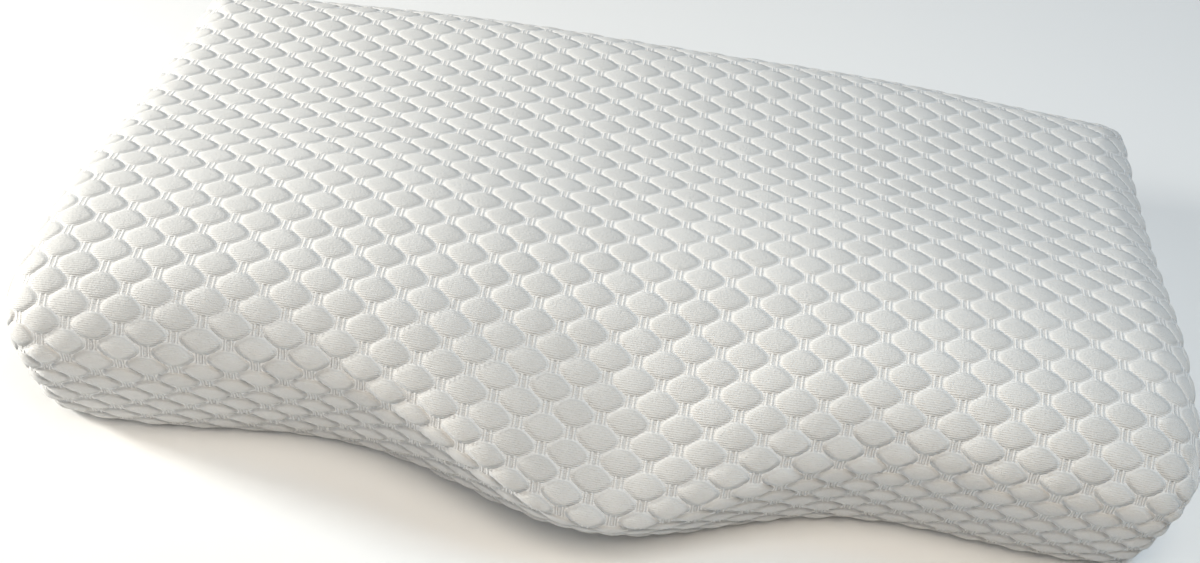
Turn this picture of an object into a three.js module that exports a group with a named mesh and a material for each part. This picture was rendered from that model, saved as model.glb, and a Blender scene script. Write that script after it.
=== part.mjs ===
// Contoured neck pillow: one foam-filled knitted cover, lying on its flat base.
// Millimetres, +Z up, +X along the pillow, -Y towards the neck edge.
// The origin is under the middle of the bounding box.
import * as THREE from "three";

// Straight blank: a box with rounded sides, before the long edges are shaped
const BLANK_LENGTH = 600;
const BLANK_DEPTH = 321.5;

// Neck edge in plan: a rounded nose in the middle and a wide lobe near each end,
// with a shoulder recess between them
const NOSE_X = 6;
const NOSE_REACH = 42;
const NOSE_HALF_WIDTH = 97;
const NOSE_POWER = 2.1;
const LOBE_REACH = 15;
const LOBE_X = 252;
const LOBE_HALF_WIDTH = 90;
const SHAPED_FROM_Y = 65;
const SHAPED_FADE = 51;

// The soft neck edge reaches a little further out at its left end
const EDGE_LEAN = 6;

// Heights of the top surface over the base
const VALLEY_HEIGHT = 94;
const RIDGE_HEIGHT = 119;
const RIDGE_Y = -81;
const RIDGE_HALF_WIDTH = 97;
const BACK_HEIGHT = 91;
const BACK_STARTS_Y = 43;
const BACK_ENDS_Y = 116;
const END_FALL = 7.5;
const MIDDLE_RISE = 9;
const MIDDLE_HALF_WIDTH = 158;

// Hollow in the ridge, where the neck lies: it opens forward onto the nose
const HOLLOW_X = 8;
const HOLLOW_DEPTH = 93;
const HOLLOW_HALF_WIDTH = 81;
const HOLLOW_POWER = 1.85;
const HOLLOW_Y = -137;
const HOLLOW_FADE = 32;

// Rounded sides: over the widest line a quarter ellipse, below it the side draws in
// under the pillow and ends in a small rounded foot
const WIDEST_SHARE = 0.7;
const FRONT_ROUNDING = 36;
const BACK_ROUNDING = 50;
const END_ROUNDING = 31;
const FRONT_TUCK = 23;
const BACK_TUCK = 18;
const END_TUCK = 6;
const TUCK_POWER = 1.3;
const FOOT_ROUNDING = 6;
const FOOT_POWER = 8;
const FRONT_CORNER_POWER = 2.4;
const BACK_CORNER_POWER = 6;

// Facets
const STEPS_ALONG = 48;
const STEPS_ACROSS = 24;
const CORNER_STEPS = 8;
const UPPER_SIDE_ROWS = 7;
const LOWER_SIDE_ROWS = 7;

const HALF_LENGTH = BLANK_LENGTH / 2;
const HALF_DEPTH = BLANK_DEPTH / 2;
const END_X = HALF_LENGTH - END_ROUNDING;
const FRONT_Y = FRONT_ROUNDING - HALF_DEPTH;
const BACK_Y = HALF_DEPTH - BACK_ROUNDING;
const QUARTER_TURN = Math.PI / 2;

function bell(offset, halfWidth, power = 2) {
  return Math.exp(-Math.pow(Math.abs(offset / halfWidth), power));
}

// 1 well in front of the given place, 0 well behind it
function inFrontOf(y, place, fade) {
  return 1 / (1 + Math.exp((y - place) / fade));
}

// Height of the top surface over a point of the blank, before the sides are rounded
function topHeight(x, y) {
  const ridge = (RIDGE_HEIGHT - VALLEY_HEIGHT) * bell(y - RIDGE_Y, RIDGE_HALF_WIDTH);
  const backShare = THREE.MathUtils.smoothstep(y, BACK_STARTS_Y, BACK_ENDS_Y);
  const back = (BACK_HEIGHT - VALLEY_HEIGHT) * backShare;
  const middle = MIDDLE_RISE * bell(x, MIDDLE_HALF_WIDTH);
  const hollowForward = HOLLOW_DEPTH * inFrontOf(y, HOLLOW_Y, HOLLOW_FADE);
  const hollow = hollowForward * bell(x - HOLLOW_X, HOLLOW_HALF_WIDTH, HOLLOW_POWER);
  const ends = END_FALL * Math.pow(x / HALF_LENGTH, 4);
  return VALLEY_HEIGHT + ridge + back + middle - hollow - ends;
}

// Where a point of the blank comes to lie once the edges are shaped
function shapedPlan(x, y) {
  const nose = NOSE_REACH * bell(x - NOSE_X, NOSE_HALF_WIDTH, NOSE_POWER);
  const lobe = LOBE_REACH * bell(Math.abs(x) - LOBE_X, LOBE_HALF_WIDTH);
  const lean = (-EDGE_LEAN * x) / HALF_LENGTH;
  const forward = (nose + lobe + lean) * inFrontOf(y, SHAPED_FROM_Y, SHAPED_FADE);
  return new THREE.Vector2(x, y - forward);
}

// A point of the pillow from a point of the blank and its share of the height
function pillowPoint(x, y, heightShare = 1) {
  const plan = shapedPlan(x, y);
  return new THREE.Vector3(plan.x, plan.y, topHeight(x, y) * heightShare);
}

// The top is a grid over the middle of the blank, up to where its sides start to round
function gridPoint(column, row) {
  const x = THREE.MathUtils.lerp(-END_X, END_X, column / STEPS_ALONG);
  const y = THREE.MathUtils.lerp(FRONT_Y, BACK_Y, row / STEPS_ACROSS);
  return new THREE.Vector2(x, y);
}

function gridNumber(column, row) {
  return column * (STEPS_ACROSS + 1) + row;
}

// The grid's edge, counter-clockwise from its back right corner, with outward angles.
// Only at the corners does the angle turn, and there all directions share one point.
function edgeLoop() {
  const corners = [
    [STEPS_ALONG, STEPS_ACROSS],
    [0, STEPS_ACROSS],
    [0, 0],
    [STEPS_ALONG, 0],
  ];
  const loop = [];
  corners.forEach(([column, row], number) => {
    for (let i = 0; i <= CORNER_STEPS; i += 1) {
      loop.push({ column, row, angle: QUARTER_TURN * (number + i / CORNER_STEPS) });
    }
    const [nextColumn, nextRow] = corners[(number + 1) % corners.length];
    const steps = number % 2 === 0 ? STEPS_ALONG : STEPS_ACROSS;
    for (let i = 1; i < steps; i += 1) {
      loop.push({
        column: column + ((nextColumn - column) * i) / steps,
        row: row + ((nextRow - row) * i) / steps,
        angle: QUARTER_TURN * (number + 1),
      });
    }
  });
  return loop;
}

// Outward direction, lengthened so that the corners follow |x|^n + |y|^n = 1
function outward(angle) {
  const direction = new THREE.Vector2(Math.cos(angle), Math.sin(angle));
  const power = direction.y < 0 ? FRONT_CORNER_POWER : BACK_CORNER_POWER;
  const along = Math.pow(Math.abs(direction.x), power);
  const across = Math.pow(Math.abs(direction.y), power);
  return direction.multiplyScalar(Math.pow(along + across, -1 / power));
}

// The side's section from the top down: for each row its share of the rounding, of the
// height, of the tuck and of the foot's rounding
function sideSection() {
  const rows = [];
  for (let i = 1; i <= UPPER_SIDE_ROWS; i += 1) {
    const turn = (QUARTER_TURN * i) / UPPER_SIDE_ROWS;
    const height = WIDEST_SHARE + (1 - WIDEST_SHARE) * Math.cos(turn);
    rows.push({ out: Math.sin(turn), height, tuck: 0, foot: 0 });
  }
  for (let i = 1; i <= LOWER_SIDE_ROWS; i += 1) {
    const down = Math.sin((QUARTER_TURN * i) / LOWER_SIDE_ROWS);
    const tuck = Math.pow(down, TUCK_POWER);
    const foot = 1 - Math.sqrt(1 - Math.pow(down, FOOT_POWER));
    rows.push({ out: 1, height: WIDEST_SHARE * (1 - down), tuck, foot });
  }
  return rows;
}

function sidePoint(edge, section) {
  const start = gridPoint(edge.column, edge.row);
  const direction = outward(edge.angle);
  const inFront = direction.y < 0;
  const rounding = inFront ? FRONT_ROUNDING : BACK_ROUNDING;
  const tuck = inFront ? FRONT_TUCK : BACK_TUCK;
  const foot = FOOT_ROUNDING * section.foot;
  const outX = END_ROUNDING * section.out - END_TUCK * section.tuck - foot;
  const outY = rounding * section.out - tuck * section.tuck - foot;
  const x = start.x + direction.x * outX;
  const y = start.y + direction.y * outY;
  return pillowPoint(x, y, section.height);
}

// One closed surface: the grid, the side rows round it and a point in the middle of the base
function pillowGeometry() {
  const points = [];
  const faces = [];
  for (let column = 0; column <= STEPS_ALONG; column += 1) {
    for (let row = 0; row <= STEPS_ACROSS; row += 1) {
      const blank = gridPoint(column, row);
      points.push(pillowPoint(blank.x, blank.y));
    }
  }
  for (let column = 0; column < STEPS_ALONG; column += 1) {
    for (let row = 0; row < STEPS_ACROSS; row += 1) {
      const near = gridNumber(column, row);
      const far = gridNumber(column + 1, row);
      faces.push(near, far, far + 1, near, far + 1, near + 1);
    }
  }

  const loop = edgeLoop();
  let upper = loop.map((edge) => gridNumber(edge.column, edge.row));
  sideSection().forEach((section) => {
    const lower = loop.map((edge, i) => points.length + i);
    points.push(...loop.map((edge) => sidePoint(edge, section)));
    loop.forEach((edge, i) => {
      const next = (i + 1) % loop.length;
      faces.push(upper[i], lower[i], lower[next]);
      if (upper[i] !== upper[next]) {
        faces.push(upper[i], lower[next], upper[next]);
      }
    });
    upper = lower;
  });
  const baseMiddle = points.length;
  points.push(new THREE.Vector3(0, 0, 0));
  upper.forEach((corner, i) => {
    faces.push(baseMiddle, upper[(i + 1) % loop.length], corner);
  });

  const geometry = new THREE.BufferGeometry().setFromPoints(points);
  geometry.setIndex(faces);
  geometry.computeBoundingBox();
  const centre = geometry.boundingBox.getCenter(new THREE.Vector3());
  geometry.translate(-centre.x, -centre.y, 0);
  geometry.computeVertexNormals();
  return geometry;
}

const knit = new THREE.MeshStandardMaterial({ color: 0xe6e5e1, roughness: 0.92, metalness: 0 });

const pillow = new THREE.Mesh(pillowGeometry(), knit);
pillow.name = "pillow";

const part = new THREE.Group();
part.add(pillow);

export default part;
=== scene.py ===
"""Contoured neck pillow in a puffed knitted cover, dressed for Blender 4.5.

Lengths in this file are in millimetres until a mesh, a light or the camera is made.
+X runs along the pillow, -Y points to the neck edge with its nose, +Z is up.
"""

import bpy
import numpy as np
from mathutils import Euler, Matrix


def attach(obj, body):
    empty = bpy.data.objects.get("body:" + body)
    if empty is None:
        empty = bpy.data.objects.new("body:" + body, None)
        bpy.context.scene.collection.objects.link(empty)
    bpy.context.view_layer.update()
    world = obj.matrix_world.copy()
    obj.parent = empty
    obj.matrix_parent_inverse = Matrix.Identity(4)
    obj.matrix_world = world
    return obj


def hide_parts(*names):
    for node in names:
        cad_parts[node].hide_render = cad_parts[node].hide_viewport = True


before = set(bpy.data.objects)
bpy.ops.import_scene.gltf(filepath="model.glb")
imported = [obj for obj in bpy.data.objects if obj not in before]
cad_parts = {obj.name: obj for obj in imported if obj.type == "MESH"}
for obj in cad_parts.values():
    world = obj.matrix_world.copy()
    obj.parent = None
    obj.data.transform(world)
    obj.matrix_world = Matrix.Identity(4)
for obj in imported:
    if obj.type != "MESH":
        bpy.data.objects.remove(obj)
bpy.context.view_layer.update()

METRE = 0.001

# Straight blank: a box with rounded sides, before its long edges are shaped
BLANK_LENGTH = 600.0
BLANK_DEPTH = 321.5
FRONT_CORNER_POWER = 2.4
BACK_CORNER_POWER = 6.0

# Neck edge in plan
NOSE_X = 6.0
NOSE_REACH = 42.0
NOSE_HALF_WIDTH = 97.0
NOSE_POWER = 2.1
LOBE_REACH = 15.0
LOBE_X = 252.0
LOBE_HALF_WIDTH = 90.0
SHAPED_FROM_Y = 65.0
SHAPED_FADE = 51.0
EDGE_LEAN = 6.0

# Heights of the top surface over the base
VALLEY_HEIGHT = 94.0
RIDGE_HEIGHT = 119.0
RIDGE_Y = -81.0
RIDGE_HALF_WIDTH = 97.0
BACK_HEIGHT = 91.0
BACK_STARTS_Y = 43.0
BACK_ENDS_Y = 116.0
END_FALL = 7.5
MIDDLE_RISE = 9.0
MIDDLE_HALF_WIDTH = 158.0

# Hollow for the neck
HOLLOW_X = 8.0
HOLLOW_DEPTH = 93.0
HOLLOW_HALF_WIDTH = 81.0
HOLLOW_POWER = 1.85
HOLLOW_Y = -137.0
HOLLOW_FADE = 32.0

# Rounded sides
WIDEST_SHARE = 0.7
FRONT_ROUNDING = 36.0
BACK_ROUNDING = 50.0
END_ROUNDING = 31.0
FRONT_TUCK = 23.0
BACK_TUCK = 18.0
END_TUCK = 6.0
TUCK_POWER = 1.3
FOOT_ROUNDING = 6.0
FOOT_POWER = 8.0

# Knit: raised puffs in a half-drop repeat, domes in the mesh
REPEAT_ACROSS = 26.23
REPEAT_ALONG = 19.94
FIRST_PUFF_COLUMN = 1.73
FIRST_PUFF_AT = -151.7
DOME_HEIGHT = 1.2
DOME_ROUNDNESS = 0.6
DOME_MEAN = 0.5

# Relief left in the knit: heights over the base, shares of the way down, lost cloth
RELIEF_STARTS_AT = 0.5
RELIEF_FULL_AT = 7.0
SIDE_RELIEF = 2.0
SIDE_RELIEF_STARTS = 0.05
SIDE_RELIEF_FULL = 0.3
BASE_RELIEF = 0.5
BASE_RELIEF_RUN = 0.04
CORNER_LINE_TURN = 0.6
CORNER_LINE_HALF_WIDTH = 5.0
LOST_CLOTH_SHOWS = 1.0
LOST_CLOTH_FULL = 6.0

# Mesh spacing
TOP_COLUMNS = 251
TOP_ROWS = 118
CORNER_STEPS = 26
UPPER_SIDE_ROWS = 26
LOWER_SIDE_ROWS = 38
LOWER_ROWS_POWER = 1.2
BASE_RINGS = (0.985, 0.97, 0.8, 0.4)
TINY_TURN = 1e-9
STRAIGHT_TURN = 1e-6

# Puffs and ribs in the bump: the two half sizes of a puff are shares of half a repeat
SLANT_SCALE = REPEAT_ACROSS * REPEAT_ALONG / (2 * np.hypot(REPEAT_ACROSS, REPEAT_ALONG))
GROOVE_HALF_WIDTH = 0.1
PUFF_HALF_ACROSS = 0.79
PUFF_HALF_ALONG = 0.76
PUFF_CORNER_ROUNDING = 3.0
PUFF_EDGE_WIDTH = 3.0
PUFF_HEIGHT = 1.3
RIB_OFFSET = 1.4
RIB_HALF_WIDTH = 0.8
RIB_HALF_LENGTH = 3.6
RIB_HEIGHT = 0.5
# Width of the band beside the ribs that takes painted shade
GAP_WIDTH = 0.8
RIM_WIDTH = 0.4
RIM_SOFTNESS = 1.0
COURSE_SPACING = 1.1
COURSE_HEIGHT = 0.08
COURSE_WAVER = 3.0
YARN_FUZZ = 0.38

# Noise scales, per metre
WAVER_SCALE = 220.0
FUZZ_SCALE = 900.0
BROAD_SCALE = 9.0
FLOOR_SCALE = 1.5

# Finishes
RIB_COLOUR = (0.98, 0.975, 0.96, 1.0)
RIM_COLOUR = (0.955, 0.95, 0.935, 1.0)
PUFF_COLOUR = (0.705, 0.70, 0.685, 1.0)
# Painted shade: a grey laid over the gaps beside and between the ribs, where shade falls
PAINTED_GAP_SHADE_COLOUR = (0.70, 0.695, 0.685, 1.0)
PAINTED_GAP_SHADE_SHARE = 0.8
MOTTLE_COLOUR = (0.82, 0.815, 0.80, 1.0)
MOTTLE_RANGE = (0.35, 0.65)
MOTTLE_SHARE = 0.35
LEAST_PUFF_TONE = 0.75
RIB_COLOUR_RANGE = (0.2, 0.7)
# Share of a rib's height at which the painted gap shade stops
GAP_ENDS_AT = 0.4
KNIT_ROUGHNESS = 0.92
SMOOTHER_PUFF = 0.06
KNIT_SHEEN = 0.25
KNIT_SHEEN_ROUGHNESS = 0.5
KNIT_SPECULAR = 0.25
FLOOR_COLOUR = (0.955, 0.955, 0.95, 1.0)
FLOOR_COLOUR_TOO = (0.965, 0.965, 0.96, 1.0)
FLOOR_ROUGHNESS = 0.9
FLOOR_SPECULAR = 0.1
FLOOR_HALF_SIZE = 4000.0

# Studio: name, place, aim, size, watts, colour
WORLD_COLOUR = (1.0, 0.99, 0.97, 1.0)
WORLD_STRENGTH = 0.10
LIGHTS = (
    ("key_light", (-1448.0, 0.0, 450.0), (0.0, 0.0, 50.0), 200.0, 20.0, (1.0, 0.98, 0.92)),
    ("left_fill", (-869.0, -869.0, 910.0), (0.0, 0.0, 50.0), 600.0, 2.0, (0.94, 0.97, 1.0)),
    ("front_fill", (230.0, -640.0, 1390.0), (0.0, 0.0, 50.0), 600.0, 10.9, (1.0, 0.9, 0.77)),
    ("right_fill", (750.0, 0.0, 1350.0), (0.0, 0.0, 50.0), 600.0, 5.0, (0.36, 0.69, 1.0)),
    ("back_fill", (300.0, 1300.0, 900.0), (0.0, 200.0, 0.0), 600.0, 2.6, (0.94, 0.97, 1.0)),
)

# Camera
CAMERA_PLACE = (29.6, -638.8, 620.3)
CAMERA_ANGLES = (47.251, -5.496, 7.329)
CAMERA_LENS = 45.03
CAMERA_SHIFT_X = -0.0272
CAMERA_SHIFT_Y = 0.0006
CAMERA_SENSOR = 36.0
CAMERA_NEAR = 10.0

HALF_LENGTH = BLANK_LENGTH / 2
HALF_DEPTH = BLANK_DEPTH / 2
END_X = HALF_LENGTH - END_ROUNDING
FRONT_Y = -(HALF_DEPTH - FRONT_ROUNDING)
BACK_Y = HALF_DEPTH - BACK_ROUNDING


def bell(offset, half_width, power=2.0):
    """e to the minus (offset over half width) to the power: 1 in the middle, 0 far out."""
    return np.exp(-np.abs(offset / half_width) ** power)


def smooth_step(value, start, end):
    """3 t squared minus 2 t cubed, with t running from 0 at the start to 1 at the end."""
    t = np.clip((value - start) / (end - start), 0.0, 1.0)
    return t * t * (3.0 - 2.0 * t)


def in_front_of(y, place, fade):
    """1 over (1 + e to the (y - place) / fade): 1 well in front of the place, 0 behind it."""
    return 1.0 / (1.0 + np.exp((y - place) / fade))


def top_height(x, y):
    """Valley height, plus a bell-shaped ridge along x, a step to the back, a low rise
    in the middle and the hollow, minus a fall with the fourth power of x to the ends."""
    ridge = (RIDGE_HEIGHT - VALLEY_HEIGHT) * bell(y - RIDGE_Y, RIDGE_HALF_WIDTH)
    back = (BACK_HEIGHT - VALLEY_HEIGHT) * smooth_step(y, BACK_STARTS_Y, BACK_ENDS_Y)
    middle = MIDDLE_RISE * bell(x, MIDDLE_HALF_WIDTH)
    hollow = HOLLOW_DEPTH * in_front_of(y, HOLLOW_Y, HOLLOW_FADE)
    hollow = hollow * bell(x - HOLLOW_X, HOLLOW_HALF_WIDTH, HOLLOW_POWER)
    return VALLEY_HEIGHT + ridge + back + middle - hollow - END_FALL * (x / HALF_LENGTH) ** 4


def shaped_plan(x, y):
    """y moved forward by nose plus two lobes plus a lean, all fading out to the back."""
    nose = NOSE_REACH * bell(x - NOSE_X, NOSE_HALF_WIDTH, NOSE_POWER)
    lobes = LOBE_REACH * bell(np.abs(x) - LOBE_X, LOBE_HALF_WIDTH)
    lean = -EDGE_LEAN * x / HALF_LENGTH
    return y - (nose + lobes + lean) * in_front_of(y, SHAPED_FROM_Y, SHAPED_FADE)


def faces_front(angles):
    """True where the outward way points to the neck edge, and false along the ends."""
    return np.sin(angles + TINY_TURN) < 0.0


def edge_loop():
    """Points round the middle part of the blank, counter-clockwise from its back right
    corner, with the outward angle of each, which turns only at the corners, where a fan
    of directions shares one point. Also gives where each corner's fan starts."""
    turn = np.linspace(0.0, np.pi / 2, CORNER_STEPS + 1)
    along = np.linspace(0.0, 1.0, TOP_COLUMNS)[1:-1]
    across = np.linspace(0.0, 1.0, TOP_ROWS)[1:-1]
    corners = ((END_X, BACK_Y), (-END_X, BACK_Y), (-END_X, FRONT_Y), (END_X, FRONT_Y))
    points, angles, fans = [], [], []
    for number, corner in enumerate(corners):
        angle = turn + number * np.pi / 2
        fans.append(sum(len(run) for run in angles))
        points.append(np.tile(corner, (turn.size, 1)))
        angles.append(angle)
        share = (along if number % 2 == 0 else across)[:, None]
        following = np.array(corners[(number + 1) % 4])
        points.append(np.array(corner) * (1.0 - share) + following * share)
        angles.append(np.full(share.size, angle[-1]))
    return np.concatenate(points), np.concatenate(angles), fans


def rounded_outward(angle):
    """Direction of the angle, lengthened so that the corner follows the power curve
    |x|^n + |y|^n = 1, with one power in front and another at the back."""
    cosine, sine = np.cos(angle), np.sin(angle)
    power = np.where(sine < 0.0, FRONT_CORNER_POWER, BACK_CORNER_POWER)
    length = (np.abs(cosine) ** power + np.abs(sine) ** power) ** (-1.0 / power)
    return cosine * length, sine * length


def side_section():
    """Out from the top to the widest line: a quarter ellipse. Below it: the drawn-in
    length grows with a power of the way down, and a small foot with a high power. Gives
    for each row its shares of the rounding, the height, the tuck and the foot."""
    turn = np.linspace(0.0, np.pi / 2, UPPER_SIDE_ROWS + 1)[1:]
    down = 1.0 - np.linspace(1.0, 0.0, LOWER_SIDE_ROWS + 1)[1:] ** LOWER_ROWS_POWER
    above, below = np.zeros(turn.size), np.ones(down.size)
    out = np.concatenate([np.sin(turn), below])
    upper = WIDEST_SHARE + (1.0 - WIDEST_SHARE) * np.cos(turn)
    height = np.concatenate([upper, WIDEST_SHARE * (1.0 - down)])
    tuck = np.concatenate([above, down ** TUCK_POWER])
    foot = np.concatenate([above, 1.0 - np.sqrt(1.0 - down ** FOOT_POWER)])
    return out[:, None], height[:, None], tuck[:, None], foot[:, None]


def lengths_down(rows):
    """Running length of each column of a grid of points, from its first row."""
    steps = np.linalg.norm(np.diff(rows, axis=0), axis=2)
    return np.concatenate([np.zeros((1, rows.shape[1])), np.cumsum(steps, axis=0)])


def corner_turns(rows, down, fan, long_side_first):
    """Angles by which the cloth turns round one corner at each point, from its long side
    and from its end: the length along the row over the length down the side. A line down
    the fan parts the two. Also gives the line's place in the fan, and the relief left
    beside it: less where more cloth is missing there."""
    steps = np.linalg.norm(np.diff(rows[:, fan], axis=1), axis=2)
    run = np.concatenate([np.zeros((steps.shape[0], 1)), np.cumsum(steps, axis=1)], axis=1)
    back_run = run[:, -1:] - run
    from_long, from_end = (run, back_run) if long_side_first else (back_run, run)
    share = CORNER_LINE_TURN if long_side_first else 1.0 - CORNER_LINE_TURN
    line = int(round(share * CORNER_STEPS))
    reach = down[:, fan]
    turn_long = np.minimum(from_long / reach, np.pi / 2)
    turn_end = np.minimum(from_end / reach, np.pi / 2)
    missing = reach * (np.pi / 2 - turn_long - turn_end)
    beside = bell(run - run[:, line:line + 1], CORNER_LINE_HALF_WIDTH)
    lost = smooth_step(missing[:, line:line + 1], LOST_CLOTH_SHOWS, LOST_CLOTH_FULL)
    left = 1.0 - lost * beside
    return turn_long, turn_end, line, left


def side_cloth(side, inner_uv, angles, fans):
    """Cloth coordinates of the sides, once as a run of the long sides and once as a run of
    the ends: the inner point's own, plus the length down the side in the direction of the
    turned cloth. Also tells which faces take the second, and the relief left."""
    down = lengths_down(side)[1:]
    turn_long = np.zeros(down.shape)
    turn_end = np.zeros(down.shape)
    relief = np.ones(down.shape)
    on_end = np.abs(np.cos(angles + TINY_TURN)) > np.cos(STRAIGHT_TURN)
    face_on_end = on_end & np.roll(on_end, -1)
    for number, start in enumerate(fans):
        fan = np.arange(start, start + CORNER_STEPS + 1)
        long_side_first = number % 2 == 1
        turns = corner_turns(side[1:], down, fan, long_side_first)
        turn_long[:, fan], turn_end[:, fan], line, relief[:, fan] = turns
        face_on_end[start:start + line] = not long_side_first
        face_on_end[start + line:start + CORNER_STEPS] = long_side_first
    way_x = np.sign(inner_uv[:, 0])
    way_y = np.where(faces_front(angles), -1.0, 1.0)
    as_long = np.stack([inner_uv[:, 0] + way_x * down * np.sin(turn_long),
                        inner_uv[:, 1] + way_y * down * np.cos(turn_long)], axis=2)
    as_end = np.stack([inner_uv[:, 0] + way_x * down * np.cos(turn_end),
                       inner_uv[:, 1] + way_y * down * np.sin(turn_end)], axis=2)
    return as_long, as_end, face_on_end, relief


def puff_counts(uv):
    """Cloth millimetres to half repeats across and along, with a puff wherever both are
    whole numbers of which the sum is even."""
    across = 2.0 * uv[..., 0] / REPEAT_ACROSS + FIRST_PUFF_COLUMN
    along = 2.0 * (FIRST_PUFF_AT - uv[..., 1]) / REPEAT_ALONG
    return np.stack([across, along], axis=-1)


def puff_cells(uv):
    """Half of the sum and of the difference of the two counts, both whole at each puff."""
    counts = puff_counts(uv)
    total = counts[..., 0] + counts[..., 1]
    return np.stack([total / 2.0, counts[..., 0] - total / 2.0], axis=-1)


def dome(cells):
    """|cos(pi p) cos(pi q)| to a power: 1 over each puff's middle, 0 along its edges."""
    waves = np.abs(np.cos(np.pi * cells[..., 0]) * np.cos(np.pi * cells[..., 1]))
    return waves ** DOME_ROUNDNESS


def grid_faces(first, columns, rows):
    """Corner numbers of the squares of a grid whose points are numbered column by column."""
    start = first + np.arange(columns - 1)[:, None] * rows + np.arange(rows - 1)[None, :]
    start = start.ravel()
    return np.stack([start, start + rows, start + rows + 1, start + 1], axis=1)


def ring_faces(outer, inner):
    """Corner numbers of the squares between two closed rings of points."""
    return np.stack([outer, inner, np.roll(inner, -1), np.roll(outer, -1)], axis=1)


def top_surface():
    """Even grid between the rounded edges, shaped in plan, with the top's height over it."""
    x, y = np.meshgrid(np.linspace(-END_X, END_X, TOP_COLUMNS),
                       np.linspace(FRONT_Y, BACK_Y, TOP_ROWS), indexing="ij")
    return np.stack([x, shaped_plan(x, y), top_height(x, y)], axis=2)


def side_surface(edge, angles, section):
    """The grid's edge carried out and down the side section, with the top's height scaled
    by each row's share."""
    way_x, way_y = rounded_outward(angles)
    out, height, tuck, foot = section
    in_front = faces_front(angles)
    rounding = np.where(in_front, FRONT_ROUNDING, BACK_ROUNDING)
    drawn_in = np.where(in_front, FRONT_TUCK, BACK_TUCK)
    out_x = END_ROUNDING * out - END_TUCK * tuck - FOOT_ROUNDING * foot
    out_y = rounding * out - drawn_in * tuck - FOOT_ROUNDING * foot
    x = edge[:, 0] + way_x * out_x
    y = edge[:, 1] + way_y * out_y
    return np.stack([x, shaped_plan(x, y), top_height(x, y) * height], axis=2)


def over_origin(top, sides):
    """Both surfaces moved level so that the middle of their box lies over the origin."""
    points = sides.reshape(-1, 3)
    middle = (points.min(axis=0) + points.max(axis=0)) / 2.0
    middle[2] = 0.0
    return top - middle, sides - middle


def inner_numbers(edge):
    """Number of the top's grid point on which each point of the edge lies."""
    column = np.rint((edge[:, 0] / END_X + 1.0) / 2.0 * (TOP_COLUMNS - 1)).astype(int)
    row = np.rint((edge[:, 1] - FRONT_Y) / (BACK_Y - FRONT_Y) * (TOP_ROWS - 1)).astype(int)
    return column * TOP_ROWS + row


def top_cloth(top):
    """Cloth coordinates of the top: x, and the running length of its column from y = 0,
    which is found in a straight line between two rows."""
    length = lengths_down(top.transpose(1, 0, 2)).T
    before = (top[:, :, 1] < 0.0).sum(axis=1)[:, None] - 1
    y0 = np.take_along_axis(top[:, :, 1], before, axis=1)
    y1 = np.take_along_axis(top[:, :, 1], before + 1, axis=1)
    l0 = np.take_along_axis(length, before, axis=1)
    l1 = np.take_along_axis(length, before + 1, axis=1)
    from_middle = length - l0 + (l1 - l0) * y0 / (y1 - y0)
    return np.stack([top[:, :, 0], from_middle], axis=2).reshape(-1, 2)


def side_relief(left, sides, height):
    """What the corner lines leave, times a share that grows down the rounding, times one
    that fades to nothing at the base."""
    grown = 1.0 + (SIDE_RELIEF - 1.0) * smooth_step(1.0 - height, SIDE_RELIEF_STARTS,
                                                    SIDE_RELIEF_FULL)
    return left * grown * smooth_step(sides[:, :, 2], RELIEF_STARTS_AT, RELIEF_FULL_AT)


def side_faces(inner, inner_uv, first, as_long, as_end, face_on_end):
    """Squares of the side rows. All four corners of a square take the same run's cloth."""
    ring = np.arange(inner.size)
    rows = [inner] + [first + k * inner.size + ring for k in range(as_long.shape[0])]
    long_run = np.concatenate([inner_uv[None], as_long])
    end_run = np.concatenate([inner_uv[None], as_end])
    chosen = face_on_end[None, :, None]
    left = np.where(chosen, end_run, long_run)
    right = np.where(chosen, np.roll(end_run, -1, axis=1), np.roll(long_run, -1, axis=1))
    squares, uvs = [], []
    for k in range(as_long.shape[0]):
        squares.append(ring_faces(rows[k], rows[k + 1]))
        uvs.append(np.stack([left[k], left[k + 1], right[k + 1], right[k]], axis=1))
    return squares, uvs


def base_faces(points, first, count):
    """Squares from the last side row through the base's rings, and triangles round its
    middle. Their cloth coordinates are x and y."""
    ring = np.arange(count)
    rings = [first + k * count + ring for k in range(-1, len(BASE_RINGS))]
    squares = [ring_faces(outer, inner) for outer, inner in zip(rings, rings[1:])]
    centre = np.full(count, first + len(BASE_RINGS) * count)
    squares.append(np.stack([rings[-1], centre, centre, np.roll(rings[-1], -1)], axis=1))
    return squares, [points[corners][:, :, :2] for corners in squares]


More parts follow.
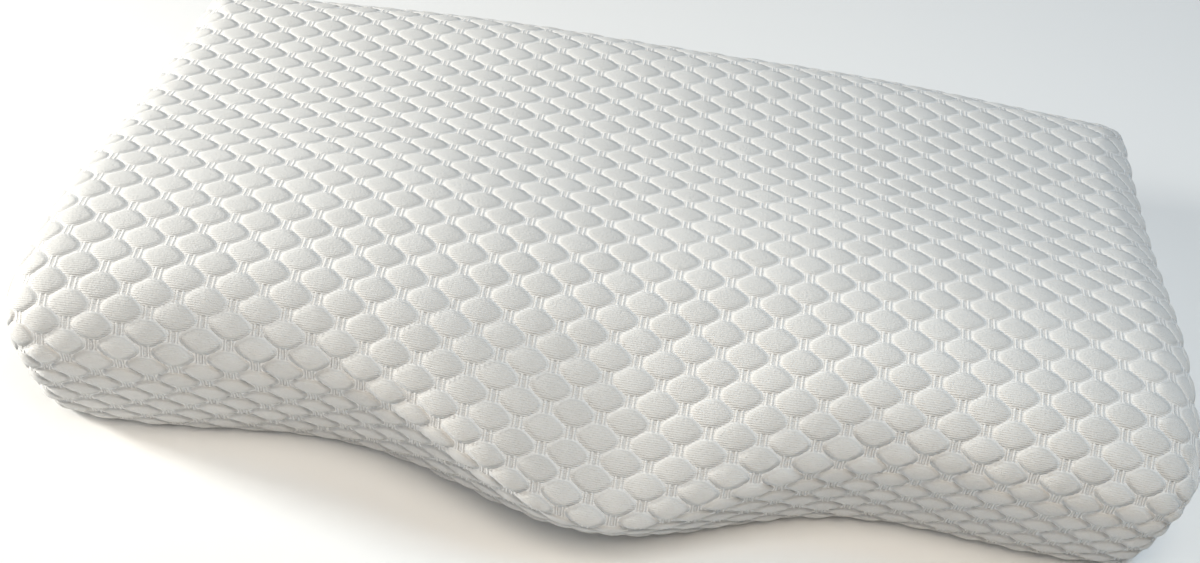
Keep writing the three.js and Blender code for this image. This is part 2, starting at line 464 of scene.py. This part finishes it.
def cover_surface():
    """Top, sides and base as one closed surface, still without puffs: its points, its
    squares, the cloth coordinates of their corners and of the points, and the relief."""
    edge, angles, fans = edge_loop()
    section = side_section()
    top, sides = over_origin(top_surface(), side_surface(edge, angles, section))
    inner = inner_numbers(edge)
    top_points = top.reshape(-1, 3)
    top_uv = top_cloth(top)
    inner_uv = top_uv[inner]
    whole_side = np.concatenate([top_points[inner][None], sides])
    as_long, as_end, face_on_end, left = side_cloth(whole_side, inner_uv, angles, fans)

    base_shares = np.array(BASE_RINGS)[:, None, None]
    base = sides[-1] * base_shares
    base[:, :, 2] = 0.0
    points = np.concatenate([top_points, sides.reshape(-1, 3), base.reshape(-1, 3),
                             np.zeros((1, 3))])

    side_first = len(top_points)
    base_first = side_first + sides.shape[0] * angles.size
    top_squares = grid_faces(0, TOP_COLUMNS, TOP_ROWS)
    side_squares, side_uvs = side_faces(inner, inner_uv, side_first, as_long, as_end,
                                        face_on_end)
    base_squares, base_uvs = base_faces(points, base_first, angles.size)
    squares = np.concatenate([top_squares] + side_squares + base_squares)
    uvs = np.concatenate([top_uv[top_squares]] + side_uvs + base_uvs)

    side_uv = np.where(face_on_end[None, :, None], as_end, as_long)
    point_uv = np.concatenate([top_uv, side_uv.reshape(-1, 2), points[base_first:, :2]])
    on_base = smooth_step(1.0 - base_shares[:, :, 0], 0.0, BASE_RELIEF_RUN) * BASE_RELIEF
    relief = np.concatenate([np.ones(side_first), side_relief(left, sides, section[1]).ravel(),
                             np.repeat(on_base, angles.size), [BASE_RELIEF]])
    return points, squares, uvs, point_uv, relief


def closed_mesh(name, points, squares, uvs):
    """Mesh from points in millimetres and squares. A corner that repeats the next one is
    left out, which makes that square a triangle."""
    kept = squares != np.roll(squares, -1, axis=1)
    totals = kept.sum(axis=1)
    mesh = bpy.data.meshes.new(name)
    mesh.vertices.add(len(points))
    mesh.vertices.foreach_set("co", (points * METRE).ravel())
    mesh.loops.add(int(kept.sum()))
    mesh.loops.foreach_set("vertex_index", squares[kept].astype(np.int32))
    mesh.polygons.add(len(squares))
    mesh.polygons.foreach_set("loop_start", np.concatenate([[0], np.cumsum(totals)[:-1]]))
    mesh.polygons.foreach_set("use_smooth", np.ones(len(squares), dtype=bool))
    mesh.update(calc_edges=True)
    cloth = mesh.uv_layers.new(name="cloth")
    cloth.data.foreach_set("uv", uvs[kept].ravel())
    mesh.validate()
    return mesh


def puffed_cover():
    """Smooth cover first, then each point moved along its normal by the dome's height,
    less its mean, where relief is left."""
    points, squares, uvs, point_uv, relief = cover_surface()
    mesh = closed_mesh("knitted_cover", points, squares, puff_counts(uvs))
    normals = np.empty(len(points) * 3)
    mesh.vertex_normals.foreach_get("vector", normals)
    on_base = points[:, 2] <= 0.0
    height = DOME_HEIGHT * (dome(puff_cells(point_uv)) - DOME_MEAN)
    height = np.where(on_base, 0.0, height * relief)
    points = points + normals.reshape(-1, 3) * height[:, None]
    points[:, 2] = np.maximum(points[:, 2], 0.0)
    mesh.vertices.foreach_set("co", (points * METRE).ravel())
    left = mesh.attributes.new("relief", "FLOAT", "POINT")
    left.data.foreach_set("value", relief)
    mesh.update()
    cover = bpy.data.objects.new("knitted_cover", mesh)
    bpy.context.scene.collection.objects.link(cover)
    return cover


class NodeBench:
    """Adds nodes to one tree and joins them with short calls."""

    def __init__(self, tree):
        self.tree = tree

    def add(self, kind, **settings):
        node = self.tree.nodes.new(kind)
        for key, value in settings.items():
            setattr(node, key, value)
        return node

    def feed(self, socket, source):
        if isinstance(source, bpy.types.NodeSocket):
            self.tree.links.new(source, socket)
        else:
            socket.default_value = source

    def math(self, operation, *sources, clamp=False):
        node = self.add("ShaderNodeMath", operation=operation, use_clamp=clamp)
        for socket, source in zip(node.inputs, sources):
            self.feed(socket, source)
        return node.outputs[0]

    def ramp(self, value, start, end):
        node = self.add("ShaderNodeMapRange", interpolation_type="SMOOTHSTEP")
        self.feed(node.inputs["Value"], value)
        node.inputs["From Min"].default_value = start
        node.inputs["From Max"].default_value = end
        return node.outputs["Result"]

    def noise(self, place, scale, detail=2.0):
        node = self.add("ShaderNodeTexNoise")
        self.feed(node.inputs["Vector"], place)
        node.inputs["Scale"].default_value = scale
        node.inputs["Detail"].default_value = detail
        return node.outputs["Fac"]

    def blend(self, factor, first, second):
        node = self.add("ShaderNodeMix", data_type="RGBA")
        self.feed(node.inputs["Factor"], factor)
        self.feed(node.inputs["A"], first)
        self.feed(node.inputs["B"], second)
        return node.outputs["Result"]


def new_group(name, inputs, outputs):
    """Shader node group with named number, vector or colour sockets."""
    tree = bpy.data.node_groups.new(name, "ShaderNodeTree")
    for label, kind in inputs:
        tree.interface.new_socket(name=label, in_out="INPUT", socket_type=kind)
    for label, kind in outputs:
        tree.interface.new_socket(name=label, in_out="OUTPUT", socket_type=kind)
    bench = NodeBench(tree)
    return bench, bench.add("NodeGroupInput").outputs, bench.add("NodeGroupOutput").inputs


def rounded_edge(bench, distance, width):
    """Height of a plateau with a quarter-round edge: 1 minus (1 - distance/width) squared."""
    inward = bench.math("DIVIDE", distance, width, clamp=True)
    outward = bench.math("SUBTRACT", 1.0, inward)
    return bench.math("SUBTRACT", 1.0, bench.math("MULTIPLY", outward, outward))


def offsets_from_whole(bench, first, second, shift):
    """Offsets of two slanting counts from the nearest whole number plus the shift, turned
    back to offsets across and along. Also the whole numbers themselves."""
    parts, wholes = [], []
    for count in (first, second):
        moved = bench.math("SUBTRACT", count, shift)
        whole = bench.math("ROUND", moved)
        parts.append(bench.math("SUBTRACT", moved, whole))
        wholes.append(whole)
    across = bench.math("ADD", parts[0], parts[1])
    along = bench.math("SUBTRACT", parts[0], parts[1])
    return across, along, parts, wholes


def puffed_knit_group():
    """Six-sided puffs with quarter-round edges, and a pair of upright ribs between every
    two puffs that lie side by side. Heights are in millimetres. The masks mark the puffs
    inside their rims, the ribs, and the gaps beside and between the ribs for painted shade."""
    bench, given, put = new_group(
        "puffed knit", [("Cloth", "NodeSocketVector")],
        [("Height", "NodeSocketFloat"), ("Puff", "NodeSocketFloat"),
         ("Rib", "NodeSocketFloat"), ("Gap Shade", "NodeSocketFloat"),
         ("Puff Number", "NodeSocketVector")])
    split = bench.add("ShaderNodeSeparateXYZ")
    bench.feed(split.inputs[0], given["Cloth"])
    total = bench.math("ADD", split.outputs["X"], split.outputs["Y"])
    apart = bench.math("SUBTRACT", split.outputs["X"], split.outputs["Y"])
    first = bench.math("MULTIPLY", total, 0.5)
    second = bench.math("MULTIPLY", apart, 0.5)

    across, along, parts, wholes = offsets_from_whole(bench, first, second, 0.0)
    furthest = bench.math("MAXIMUM", bench.math("ABSOLUTE", parts[0]),
                          bench.math("ABSOLUTE", parts[1]))
    to_slant = bench.math("MULTIPLY", bench.math("SUBTRACT", 1.0, bench.math(
        "MULTIPLY", furthest, 2.0)), SLANT_SCALE)
    to_slant = bench.math("SUBTRACT", to_slant, GROOVE_HALF_WIDTH)
    to_row = bench.math("MULTIPLY", bench.math(
        "SUBTRACT", PUFF_HALF_ALONG, bench.math("ABSOLUTE", along)), REPEAT_ALONG / 2)
    to_side = bench.math("MULTIPLY", bench.math(
        "SUBTRACT", PUFF_HALF_ACROSS, bench.math("ABSOLUTE", across)), REPEAT_ACROSS / 2)
    inside = bench.math("SMOOTH_MIN", to_slant, to_row, PUFF_CORNER_ROUNDING)
    inside = bench.math("SMOOTH_MIN", inside, to_side, PUFF_CORNER_ROUNDING)
    puff = rounded_edge(bench, inside, PUFF_EDGE_WIDTH)

    rib_across, rib_along, _, _ = offsets_from_whole(bench, first, second, 0.5)
    off_rib = bench.math("ABSOLUTE", bench.math("SUBTRACT", bench.math(
        "MULTIPLY", bench.math("ABSOLUTE", rib_across), REPEAT_ACROSS / 2), RIB_OFFSET))
    to_rib_side = bench.math("SUBTRACT", RIB_HALF_WIDTH, off_rib)
    to_rib_end = bench.math("SUBTRACT", RIB_HALF_LENGTH, bench.math(
        "MULTIPLY", bench.math("ABSOLUTE", rib_along), REPEAT_ALONG / 2))
    rib = rounded_edge(bench, bench.math("MINIMUM", to_rib_side, to_rib_end), RIB_HALF_WIDTH)

    height = bench.math("MAXIMUM", bench.math("MULTIPLY", puff, PUFF_HEIGHT),
                        bench.math("MULTIPLY", rib, RIB_HEIGHT))
    number = bench.add("ShaderNodeCombineXYZ")
    bench.feed(number.inputs["X"], wholes[0])
    bench.feed(number.inputs["Y"], wholes[1])
    bench.feed(put["Height"], height)
    bench.feed(put["Puff"], bench.ramp(inside, RIM_WIDTH, RIM_WIDTH + RIM_SOFTNESS))
    bench.feed(put["Rib"], bench.ramp(rib, *RIB_COLOUR_RANGE))
    # Mask for the painted shade in the gaps beside and between the ribs
    beside = bench.math("SUBTRACT", RIB_OFFSET + RIB_HALF_WIDTH + GAP_WIDTH, bench.math(
        "MULTIPLY", bench.math("ABSOLUTE", rib_across), REPEAT_ACROSS / 2))
    painted_gap_shade = bench.ramp(bench.math("MINIMUM", beside, to_rib_end), 0.0, GAP_WIDTH)
    off_rib_top = bench.math("SUBTRACT", 1.0, bench.ramp(rib, 0.0, GAP_ENDS_AT))
    painted_gap_shade = bench.math("MULTIPLY", painted_gap_shade, off_rib_top)
    bench.feed(put["Gap Shade"], painted_gap_shade)
    bench.feed(put["Puff Number"], number.outputs[0])
    return bench.tree


def yarn_group():
    """Fine courses of loops: a sine wave along the cloth, broken up by two sizes of noise."""
    bench, given, put = new_group(
        "yarn", [("Cloth", "NodeSocketVector"), ("Place", "NodeSocketVector")],
        [("Height", "NodeSocketFloat"), ("Mottle", "NodeSocketFloat")])
    split = bench.add("ShaderNodeSeparateXYZ")
    bench.feed(split.inputs[0], given["Cloth"])
    waver = bench.math("MULTIPLY", bench.noise(given["Place"], WAVER_SCALE), COURSE_WAVER)
    turns = bench.math("MULTIPLY", split.outputs["Y"], np.pi * REPEAT_ALONG / COURSE_SPACING)
    course = bench.math("SINE", bench.math("ADD", turns, waver))
    fuzz = bench.noise(given["Place"], FUZZ_SCALE, detail=3.0)
    grain = bench.math("MULTIPLY", bench.math("SUBTRACT", fuzz, 0.5), YARN_FUZZ)
    height = bench.math("ADD", bench.math("MULTIPLY", course, COURSE_HEIGHT), grain)
    bench.feed(put["Height"], height)
    bench.feed(put["Mottle"], fuzz)
    return bench.tree


def knit_colour(bench, puffs, yarn, place, shown):
    """White rims and ribs, puffs a little greyer and each in a slightly different tone,
    painted shade in the gaps beside the ribs, and a faint mottle over all."""
    chance = bench.add("ShaderNodeTexWhiteNoise", noise_dimensions="3D")
    bench.feed(chance.inputs["Vector"], puffs.outputs["Puff Number"])
    tone = bench.math("MULTIPLY_ADD", chance.outputs["Value"], 1.0 - LEAST_PUFF_TONE,
                      LEAST_PUFF_TONE)
    puff = bench.math("MULTIPLY", bench.math("MULTIPLY", puffs.outputs["Puff"], shown), tone)
    painted_gap_shade = bench.math("MULTIPLY", puffs.outputs["Gap Shade"], shown)
    rib = bench.math("MULTIPLY", puffs.outputs["Rib"], shown)
    colour = bench.blend(puff, RIM_COLOUR, PUFF_COLOUR)
    # Painted shade: the gaps beside the ribs are darkened towards a grey
    colour = bench.blend(bench.math("MULTIPLY", painted_gap_shade, PAINTED_GAP_SHADE_SHARE), colour, PAINTED_GAP_SHADE_COLOUR)
    colour = bench.blend(rib, colour, RIB_COLOUR)
    fine = bench.math("MULTIPLY", yarn.outputs["Mottle"], 0.5)
    broad = bench.math("MULTIPLY", bench.noise(place, BROAD_SCALE), 0.5)
    mottle = bench.ramp(bench.math("ADD", fine, broad), *MOTTLE_RANGE)
    return bench.blend(bench.math("MULTIPLY", mottle, MOTTLE_SHARE), colour, MOTTLE_COLOUR)


def knit_material():
    """White puffed jacquard knit, matte, with its relief in one bump."""
    material = bpy.data.materials.new("white puffed knit")
    material.use_nodes = True
    material.node_tree.nodes.clear()
    bench = NodeBench(material.node_tree)
    cloth = bench.add("ShaderNodeUVMap", uv_map="cloth").outputs["UV"]
    place = bench.add("ShaderNodeTexCoord").outputs["Object"]
    relief = bench.add("ShaderNodeAttribute", attribute_name="relief").outputs["Fac"]
    shown = bench.math("MINIMUM", relief, 1.0)

    puffs = bench.add("ShaderNodeGroup")
    puffs.node_tree = puffed_knit_group()
    bench.feed(puffs.inputs["Cloth"], cloth)
    yarn = bench.add("ShaderNodeGroup")
    yarn.node_tree = yarn_group()
    bench.feed(yarn.inputs["Cloth"], cloth)
    bench.feed(yarn.inputs["Place"], place)

    height = bench.math("ADD", bench.math("MULTIPLY", puffs.outputs["Height"], relief),
                        yarn.outputs["Height"])
    bump = bench.add("ShaderNodeBump")
    bump.inputs["Strength"].default_value = 1.0
    bump.inputs["Distance"].default_value = METRE
    bench.feed(bump.inputs["Height"], height)
    puff_share = bench.math("MULTIPLY", puffs.outputs["Puff"], shown)
    roughness = bench.math("MULTIPLY_ADD", puff_share, -SMOOTHER_PUFF, KNIT_ROUGHNESS)

    surface = bench.add("ShaderNodeBsdfPrincipled")
    surface.inputs["Sheen Weight"].default_value = KNIT_SHEEN
    surface.inputs["Sheen Roughness"].default_value = KNIT_SHEEN_ROUGHNESS
    surface.inputs["Specular IOR Level"].default_value = KNIT_SPECULAR
    bench.feed(surface.inputs["Base Color"], knit_colour(bench, puffs, yarn, place, shown))
    bench.feed(surface.inputs["Roughness"], roughness)
    bench.feed(surface.inputs["Normal"], bump.outputs["Normal"])
    output = bench.add("ShaderNodeOutputMaterial")
    bench.feed(output.inputs["Surface"], surface.outputs["BSDF"])
    return material


def floor():
    """Wide plain floor with a faint unevenness of tone."""
    half = FLOOR_HALF_SIZE * METRE
    mesh = bpy.data.meshes.new("studio_floor")
    corners = [(-half, -half, 0.0), (half, -half, 0.0), (half, half, 0.0), (-half, half, 0.0)]
    mesh.from_pydata(corners, [], [(0, 1, 2, 3)])
    piece = bpy.data.objects.new("studio_floor", mesh)
    bpy.context.scene.collection.objects.link(piece)
    material = bpy.data.materials.new("pale studio paper")
    material.use_nodes = True
    bench = NodeBench(material.node_tree)
    surface = material.node_tree.nodes["Principled BSDF"]
    surface.inputs["Roughness"].default_value = FLOOR_ROUGHNESS
    surface.inputs["Specular IOR Level"].default_value = FLOOR_SPECULAR
    place = bench.add("ShaderNodeTexCoord").outputs["Object"]
    cloud = bench.noise(place, FLOOR_SCALE)
    bench.feed(surface.inputs["Base Color"], bench.blend(cloud, FLOOR_COLOUR, FLOOR_COLOUR_TOO))
    mesh.materials.append(material)
    return piece


def soft_light(name, place, aim, size, watts, colour):
    """Square soft light at a place, facing its aim; both in millimetres."""
    light = bpy.data.lights.new(name, "AREA")
    light.shape = "SQUARE"
    light.size = size * METRE
    light.energy = watts
    light.color = colour
    piece = bpy.data.objects.new(name, light)
    start = np.array(place) * METRE
    way = np.array(aim) * METRE - start
    turn = Matrix(facing(way)).to_4x4()
    turn.translation = start
    piece.matrix_world = turn
    bpy.context.scene.collection.objects.link(piece)


def facing(way):
    """Rotation of which the minus Z axis points along a way that isn't upright."""
    back = -way / np.linalg.norm(way)
    right = np.cross((0.0, 0.0, 1.0), back)
    right = right / np.linalg.norm(right)
    return np.stack([right, np.cross(back, right), back], axis=1).tolist()


def photo_camera():
    """Camera in front of the neck edge, looking down at the pillow."""
    lens = bpy.data.cameras.new("photo_camera")
    lens.sensor_width = CAMERA_SENSOR
    lens.lens = CAMERA_LENS
    lens.shift_x = CAMERA_SHIFT_X
    lens.shift_y = CAMERA_SHIFT_Y
    lens.clip_start = CAMERA_NEAR * METRE
    piece = bpy.data.objects.new("photo_camera", lens)
    piece.location = np.array(CAMERA_PLACE) * METRE
    piece.rotation_euler = Euler(np.radians(CAMERA_ANGLES))
    bpy.context.scene.collection.objects.link(piece)
    bpy.context.scene.camera = piece


def studio():
    """Dim even sky and the soft lights."""
    world = bpy.data.worlds.new("studio")
    world.use_nodes = True
    sky = world.node_tree.nodes["Background"]
    sky.inputs["Color"].default_value = WORLD_COLOUR
    sky.inputs["Strength"].default_value = WORLD_STRENGTH
    bpy.context.scene.world = world
    bpy.context.scene.view_settings.view_transform = "Standard"
    for light in LIGHTS:
        soft_light(*light)


cover = puffed_cover()
cover.data.materials.append(knit_material())
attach(cover, "root")
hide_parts("pillow")
floor()
studio()
photo_camera()

bpy.context.view_layer.update()
